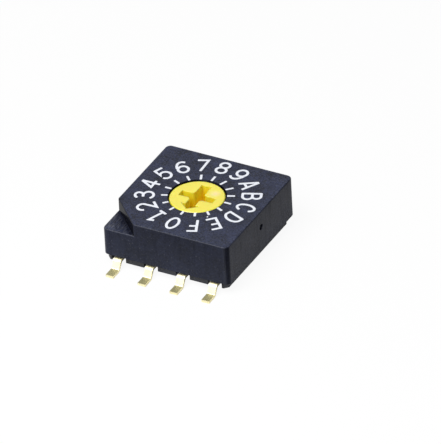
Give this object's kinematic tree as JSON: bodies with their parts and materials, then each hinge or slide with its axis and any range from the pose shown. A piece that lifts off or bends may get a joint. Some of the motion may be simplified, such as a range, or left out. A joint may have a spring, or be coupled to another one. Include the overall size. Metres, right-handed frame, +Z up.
{
  "type": "rotary switch",
  "caption": "Surface-mount rotary coded switch: 10 mm square housing, slotted rotor, gull-wing terminals on two sides.",
  "frame": {"origin": "centre of the footprint over all terminal feet, on the board plane that the feet rest on; the rotor's axis passes through it", "axes": "+Z up along the rotor's axis, -Y towards the four code terminals, +X along their row"},
  "size_m": [0.01, 0.0128, 0.0041],
  "materials": {
    "housing_plastic": "dark blue-black moulded plastic, fine matt texture",
    "rotor_plastic": "yellow moulded plastic, semi-gloss",
    "seal_rubber": "black rubber",
    "spring_steel": "stainless strip",
    "contact_gold": "gold-plated copper alloy",
    "base_plastic": "black moulded plastic, matt",
    "epoxy": "dark potting resin",
    "terminal_gold": "thin gold plating over copper alloy, pale"
  },
  "bodies": {
    "housing": {"housing": "housing_plastic", "o_ring": "seal_rubber", "click_spring": "spring_steel", "base": "base_plastic", "epoxy_seal": "epoxy", "terminal_1": "terminal_gold", "terminal_2": "terminal_gold", "terminal_4": "terminal_gold", "terminal_8": "terminal_gold", "terminal_common": "terminal_gold"},
    "rotor": {"rotor": "rotor_plastic", "code_disc": "contact_gold"}
  },
  "joints": [
    {"name": "rotor_turn", "type": "hinge", "parent": "housing", "child": "rotor", "pos_m": [0, 0, 0.004], "axis": [0, 0, 1], "continuous": true, "deforming": ["click_spring"]}
  ]
}
